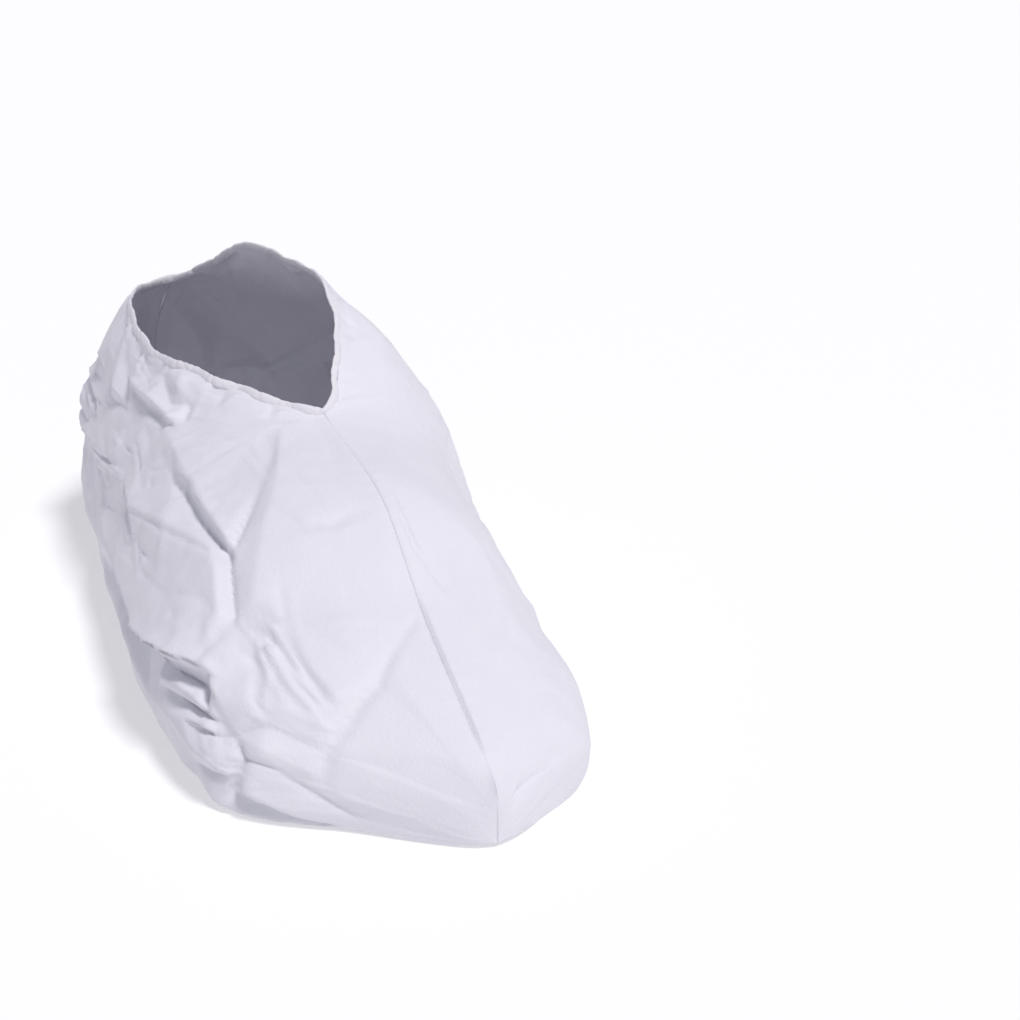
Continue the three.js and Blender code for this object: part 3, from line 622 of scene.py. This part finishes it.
def corner_shares(places, faces, spots):
    """For each spot, the corners of the triangle it lies in and the share of each corner."""
    tree = BVHTree.FromPolygons([(x, y, 0) for x, y in places], faces.tolist())
    corners = faces[[tree.find_nearest((u, v, 0))[2] for u, v in spots]]
    a, b, c = (places[corners[:, k]] for k in range(3))
    whole = cross_area(b - a, c - a)
    share_b = cross_area(spots - a, c - a) / whole
    share_c = cross_area(b - a, spots - a) / whole
    return corners, np.stack([1 - share_b - share_c, share_b, share_c], axis=-1)


def facet_moves(side, rng, crumple, folds, from_toe, girth):
    """Heights of the facets, and where each place would lie if its facet were quite flat."""
    places, tops, faces = facet_net(side, rng, crumple, folds)
    grid = np.stack(np.broadcast_arrays(from_toe, girth * GIRTH_RUN), axis=-1)
    corners, shares = corner_shares(places, faces, grid.reshape(-1, 2))
    heights = (tops[corners] * shares).sum(axis=1)
    toes = np.clip(places[:, 0], 0, LENGTH)
    girths = np.clip(places[:, 1] / GIRTH_RUN, 0, 1)
    flat = (smooth_points(side, toes, girths)[corners] * shares[..., None]).sum(axis=1)
    return heights.reshape(grid.shape[:-1]), flat.reshape(*grid.shape[:-1], 3)


def busy_share(side, from_toe, girth):
    """How crumpled a place is, from 0 where the cloth lies calm to 1."""
    share = 0
    for place_side, place_toe, place_girth, reach in BUSY_PLACES:
        if place_side == side:
            away = np.hypot(from_toe - place_toe, (girth - place_girth) * GIRTH_RUN)
            share = np.maximum(share, np.exp(-(away / reach) ** 2))
    return share


def steps(start, end, count):
    """Even steps from the start up to the end, which is left out."""
    return np.linspace(start, end, count, endpoint=False)


def length_stations():
    """Distances from the toe at which the cloth has its rows."""
    toe = from_toe_at(steps(0, turn_at(MOUTH_FRONT), TOE_ROWS))
    share = steps(0, 1, MOUTH_ROWS)
    mouth = lerp(MOUTH_FRONT, MOUTH_BACK, lerp(share, eased(share), MOUTH_EASE))
    heel = from_toe_at(steps(turn_at(MOUTH_BACK), 1, HEEL_ROWS))
    return np.concatenate([toe, mouth, heel, [LENGTH]])


def girth_stations():
    """Girths at which the cloth has its lines, closest beside the two seams."""
    return np.concatenate([
        steps(0, SEAM_CELL_GIRTH, SEAM_CELLS),
        steps(SEAM_CELL_GIRTH, SOLE_GIRTH, SOLE_CELLS),
        steps(SOLE_GIRTH, SIDE_GIRTH, SIDE_CELLS),
        steps(SIDE_GIRTH, 1 - SEAM_CELL_GIRTH, UPPER_CELLS),
        steps(1 - SEAM_CELL_GIRTH, 1, SEAM_CELLS),
        [1.0],
    ])


def edge_runs(points):
    """Distance along the cloth from each place to the panel's lower and upper edge."""
    lengths = np.linalg.norm(np.diff(points, axis=1), axis=-1)
    run = np.concatenate([np.zeros((len(points), 1)), np.cumsum(lengths, axis=1)], axis=1)
    return run, run[:, -1:] - run


def seam_heights(from_toe, under_run, upper_run):
    """The groove along the seam over the top and under the sole, with its small puckers."""
    sewn = (from_toe <= MOUTH_FRONT) | (from_toe >= MOUTH_BACK)
    depth = np.interp(from_toe, *SEAM_DEPTHS.T)
    groove = -depth * np.exp(-(upper_run / SEAM_HALF_WIDTH) ** 2)
    puckers = -PUCKER_DEPTH * np.exp(-(upper_run / PUCKER_REACH) ** 2)
    puckers = puckers * (1 + np.cos(2 * np.pi * from_toe / PUCKER_PITCH)) / 2
    sole_groove = -depth * np.exp(-(under_run / SEAM_HALF_WIDTH) ** 2)
    return np.where(sewn, groove + puckers, 0) + sole_groove


def fold_heights(side, from_toe, girth, rng):
    """Heights of the folds, creases, pleats and crumple, and the places on quite flat large facets."""
    creases = [row for crease_side, *row in CREASES if crease_side == side]
    creases += mouth_pleats(rng) + chance_creases(side, rng)
    heights = sum(crease_height(*row, from_toe, girth) for row in creases)
    coarse, *finer = CRUMPLES
    tall, flat = facet_moves(side, rng, coarse, fold_nodes(side), from_toe, girth)
    heights = heights + tall
    for crumple in finer:
        heights = heights + facet_moves(side, rng, crumple, NO_FOLDS, from_toe, girth)[0]
    return heights, flat


def cloth_moves(side, from_toe, girth, points, rng):
    """How far the folds, crumple, pleats and seam move the cloth out of its smooth shape."""
    heights, flat = fold_heights(side, from_toe, girth, rng)
    under_run, upper_run = edge_runs(points)
    above_sole = smoothstep(girth, FOLD_FROM_GIRTH, FOLD_FULL_GIRTH)
    off_seam = np.clip(upper_run / SEAM_FLAT_RUN, 0, 1)
    end_run = np.hypot(points[..., 0], np.minimum(from_toe, LENGTH - from_toe))
    off_ends = np.clip(end_run / FOLD_TIP_RUN, 0, 1)
    heights = heights * above_sole * off_seam * off_ends
    heights = heights + seam_heights(from_toe, under_run, upper_run) * off_ends

    give = flat - points
    size = np.linalg.norm(give, axis=-1)
    share = FLAT_SHARE * lerp(FLAT_CALM_SHARE, 1, busy_share(side, from_toe, girth))
    share = share * above_sole * np.clip(upper_run / FLAT_EDGE_RUN, 0, 1) * off_ends
    share = share * (FLAT_LIMIT / np.maximum(size, FLAT_LIMIT))
    return outward(side, from_toe, girth) * heights[..., None] + give * share[..., None]


def kept_to_side(side, points):
    """The points, with those that a fold has carried past the seam set back to it."""
    x, y, z = np.moveaxis(points, -1, 0)
    seam = seam_place(y, z)
    away = np.maximum(side * (x - seam), PIECE_GAP / 2)
    return np.stack([seam + side * away, y, z], axis=-1)


def metres(points):
    return (points + TO_FRAME) * MM


def new_object(name, points, faces):
    """Smoothly shaded mesh object from points in millimetres."""
    mesh = bpy.data.meshes.new(name)
    mesh.from_pydata(metres(points.reshape(-1, 3)).tolist(), [], faces.tolist())
    mesh.polygons.foreach_set("use_smooth", np.ones(len(mesh.polygons), bool))
    mesh.update()
    made = bpy.data.objects.new(name, mesh)
    bpy.context.scene.collection.objects.link(made)
    return made


def strip(lower, upper):
    """Quads between two lines of vertex numbers."""
    return np.stack([lower[:-1], lower[1:], upper[1:], upper[:-1]], axis=-1).reshape(-1, 4)


def shell_faces(rows, cells, side):
    """Quads of a thin shell: outer face, inner face and the four edges that join them."""
    outer = np.arange(rows * cells).reshape(rows, cells)
    inner = outer + rows * cells
    parts = [strip(outer[:, j], outer[:, j + 1]) for j in range(cells - 1)]
    parts += [strip(inner[:, j + 1], inner[:, j]) for j in range(cells - 1)]
    parts += [strip(inner[:, 0], outer[:, 0]), strip(outer[:, -1], inner[:, -1])]
    parts += [strip(outer[0], inner[0]), strip(inner[-1], outer[-1])]
    faces = np.concatenate(parts)
    return faces if side == RIGHT else faces[:, ::-1]


def make_panel(side):
    rng = np.random.default_rng(SEED + side)
    from_toe = length_stations()[:, None]
    girth = girth_stations()[None, :]
    smooth = smooth_points(side, from_toe, girth)
    moved = cloth_moves(side, from_toe, girth, smooth, rng)
    inside = smooth_points(side, from_toe, girth, SHEET_THICKNESS)
    points = kept_to_side(side, np.stack([smooth + moved, inside + moved]))
    return new_object(PANELS[side] + "_cloth", points, shell_faces(*smooth.shape[:2], side))


def mouth_loop():
    """Closed line along the cloth's edge at the mouth, and the way the cloth rises there."""
    share = steps(0, 1, HEM_STEPS)
    stations = lerp(MOUTH_FRONT, MOUTH_BACK, eased(share))
    middle = SHEET_THICKNESS / 2
    runs = []
    for side, order in ((LEFT, stations), (RIGHT, stations[::-1])):
        edge = smooth_points(side, order, np.ones_like(order), middle)
        below = smooth_points(side, order, np.full_like(order, 1 - SEAM_CELL_GIRTH), middle)
        runs.append((edge, unit(edge - below)))
    return [np.concatenate(pair) for pair in zip(*runs)]


def even_loop(line, rise):
    """The closed line, and the rise that goes with it, at even steps along it."""
    closed = np.concatenate([line, line[:1]])
    run = np.concatenate([[0], np.cumsum(np.linalg.norm(np.diff(closed, axis=0), axis=1))])
    at = steps(0, run[-1], HEM_STEPS)
    results = []
    for values in (line, rise):
        values = np.concatenate([values, values[:1]])
        results.append(np.stack([np.interp(at, run, values[:, k]) for k in range(3)], axis=-1))
    return results


def average_round(values, reach):
    """Running mean round a closed line."""
    return sum(np.roll(values, k, axis=0) for k in range(-reach, reach + 1)) / (2 * reach + 1)


def uneven_wave(rng, share, lowest, count):
    """Smooth wave round the loop, of height about 1."""
    phases = rng.uniform(0, 2 * np.pi, count)
    waves = [np.sin(2 * np.pi * (lowest + k) * share + phases[k]) for k in range(count)]
    return sum(waves) / math.sqrt(count)


def pinched(rng, share, angle, loop_length):
    """Share of the band's full thickness that is left where the elastic pinches it."""
    kept = np.ones(np.broadcast_shapes(share.shape, angle.shape))
    for i in range(HEM_PINCHES):
        at = (i + rng.uniform(-PINCH_JITTER, PINCH_JITTER)) / HEM_PINCHES
        depth = rng.uniform(*PINCH_DEPTH)
        reach = rng.uniform(*PINCH_REACH)
        slant = rng.uniform(-PINCH_SLANT, PINCH_SLANT)
        shorter_way = (share - at + 0.5) % 1 - 0.5
        away = shorter_way * loop_length - slant * np.sin(angle)
        kept = kept - depth * np.exp(-np.abs(away) / reach)
    return kept


def band_directions(edge, rise):
    """Directions across the hem's band and up along it, at each step round the mouth."""
    tangent = unit(np.roll(edge, -1, axis=0) - np.roll(edge, 1, axis=0))
    across = unit(np.cross(tangent, lerp(UPRIGHT, rise, HEM_LEAN)))
    return across, np.cross(across, tangent)


def ring_faces(count, corners):
    """Quads of a closed ring with a number of steps round it and of corners round its section."""
    numbers = np.arange(count * corners).reshape(count, corners)
    rings = np.concatenate([numbers, numbers[:1]])
    rings = np.concatenate([rings, rings[:, :1]], axis=1)
    return np.concatenate([strip(rings[:, j], rings[:, j + 1]) for j in range(corners)])


def make_hem():
    rng = np.random.default_rng(SEED)
    edge, rise = [average_round(values, HEM_ROUNDING) for values in even_loop(*mouth_loop())]
    across, up = band_directions(edge, rise)

    share = steps(0, 1, HEM_STEPS)
    core = edge + up * (HEM_HEIGHT / 2 - HEM_SINK)
    core = core + across * HEM_WOBBLE * uneven_wave(rng, share, *ACROSS_WAVES)[:, None]
    core = core + up * HEM_WOBBLE * uneven_wave(rng, share, *UP_WAVES)[:, None]

    angle = steps(0, 2 * np.pi, HEM_CORNERS)
    loop_length = np.linalg.norm(np.diff(edge, axis=0), axis=1).sum()
    swell = pinched(rng, share[:, None], angle, loop_length)
    wide = HEM_THICKNESS / 2 * np.cos(angle) * swell
    tall = HEM_HEIGHT / 2 * np.sin(angle) * lerp(1, swell, PINCH_HEIGHT_SHARE)
    points = core[:, None] + across[:, None] * wide[..., None] + up[:, None] * tall[..., None]
    return new_object(HEM + "_cloth", points, ring_faces(HEM_STEPS, HEM_CORNERS))


def add_node(tree, kind, **values):
    """New node whose values are set on the sockets of those names, or else on the node itself."""
    node = tree.nodes.new(kind)
    for name, value in values.items():
        socket = name.replace("_", " ")
        if socket in node.inputs:
            node.inputs[socket].default_value = value
        else:
            setattr(node, name, value)
    return node


def mottled(tree, clouds, light, shade):
    """Colour that wanders between two tints as the clouds do."""
    tint = add_node(tree, "ShaderNodeMix", data_type="RGBA")
    tint.inputs["A"].default_value = shade
    tint.inputs["B"].default_value = light
    tree.links.new(clouds.outputs["Fac"], tint.inputs["Factor"])
    return tint.outputs["Result"]


def sheet_material(name, light, shade):
    """Pressed fibre sheet: faintly mottled white, satin, with a fine swirl of fibres in its surface."""
    material = bpy.data.materials.new(name)
    material.use_nodes = True
    tree = material.node_tree
    link = tree.links.new
    shader = tree.nodes["Principled BSDF"]
    shader.inputs["Specular IOR Level"].default_value = SHEET_SPECULAR
    shader.inputs["Sheen Weight"].default_value = SHEEN_WEIGHT
    shader.inputs["Sheen Roughness"].default_value = SHEEN_ROUGHNESS
    place = add_node(tree, "ShaderNodeTexCoord").outputs["Object"]

    clouds = add_node(tree, "ShaderNodeTexNoise", **CLOUDS)
    link(place, clouds.inputs["Vector"])
    link(mottled(tree, clouds, light, shade), shader.inputs["Base Color"])

    satin = add_node(tree, "ShaderNodeMapRange", To_Min=SATIN_LOW, To_Max=SATIN_HIGH)
    link(clouds.outputs["Fac"], satin.inputs["Value"])
    link(satin.outputs["Result"], shader.inputs["Roughness"])

    fibres = add_node(tree, "ShaderNodeTexNoise", **FIBRES)
    link(place, fibres.inputs["Vector"])
    dimples = add_node(tree, "ShaderNodeTexVoronoi", Scale=DIMPLE_SCALE)
    link(place, dimples.inputs["Vector"])
    relief = add_node(tree, "ShaderNodeMath", operation="ADD")
    link(fibres.outputs["Fac"], relief.inputs[0])
    link(dimples.outputs["Distance"], relief.inputs[1])
    bump = add_node(tree, "ShaderNodeBump", Strength=RELIEF_STRENGTH, Distance=RELIEF_DEPTH)
    link(relief.outputs["Value"], bump.inputs["Height"])
    link(bump.outputs["Normal"], shader.inputs["Normal"])
    return material


def floor_material():
    material = bpy.data.materials.new("pale_floor")
    material.use_nodes = True
    tree = material.node_tree
    shader = tree.nodes["Principled BSDF"]
    shader.inputs["Roughness"].default_value = FLOOR_ROUGHNESS
    shader.inputs["Specular IOR Level"].default_value = FLOOR_SPECULAR
    shader.inputs["Emission Color"].default_value = GLOW_COLOUR
    shader.inputs["Emission Strength"].default_value = FLOOR_GLOW
    clouds = add_node(tree, "ShaderNodeTexNoise", Scale=FLOOR_CLOUD_SCALE)
    tint = mottled(tree, clouds, FLOOR_LIGHT, FLOOR_SHADE)
    tree.links.new(tint, shader.inputs["Base Color"])
    return material


def make_floor():
    mesh = bpy.data.meshes.new("floor")
    corners = [(x * FLOOR_HALF, y * FLOOR_HALF, 0) for x, y in FLOOR_CORNERS]
    mesh.from_pydata(corners, [], [(0, 1, 2, 3)])
    floor = bpy.data.objects.new("floor", mesh)
    bpy.context.scene.collection.objects.link(floor)
    mesh.materials.append(floor_material())


def aim(thing, place, target):
    """Puts a thing at a place and turns it towards a target."""
    thing.location = place
    thing.rotation_euler = (Vector(target) - Vector(place)).to_track_quat("-Z", "Y").to_euler()


def make_key_light():
    lamp = bpy.data.lights.new("key", "SUN")
    lamp.energy = KEY_STRENGTH
    lamp.angle = math.radians(KEY_SOFTNESS)
    lamp.color = KEY_COLOUR
    light = bpy.data.objects.new("key", lamp)
    bpy.context.scene.collection.objects.link(light)
    aim(light, KEY_TOWARDS, (0, 0, 0))


def make_world():
    world = bpy.data.worlds.new("studio")
    world.use_nodes = True
    sky = world.node_tree.nodes["Background"]
    sky.inputs["Color"].default_value = WORLD_COLOUR
    sky.inputs["Strength"].default_value = WORLD_STRENGTH
    bpy.context.scene.world = world


def make_camera():
    lens = bpy.data.cameras.new("camera")
    lens.lens = LENS_MM
    lens.sensor_width = SENSOR_MM
    camera = bpy.data.objects.new("camera", lens)
    bpy.context.scene.collection.objects.link(camera)
    aim(camera, CAMERA_AT, CAMERA_LOOKS_AT)
    bpy.context.scene.camera = camera


make_camera()
make_key_light()
make_world()
make_floor()
bpy.context.scene.view_settings.view_transform = "Standard"

cloth = sheet_material("pressed_fibre_sheet", CLOTH_LIGHT, CLOTH_SHADE)
hem_cloth = sheet_material("gathered_hem", HEM_LIGHT, HEM_SHADE)

hem = make_hem()
hem.data.materials.append(hem_cloth)
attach(hem, "root")
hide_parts(HEM)

for side in PANELS:
    panel = make_panel(side)
    panel.data.materials.append(cloth)
    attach(panel, "root")
    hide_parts(PANELS[side])
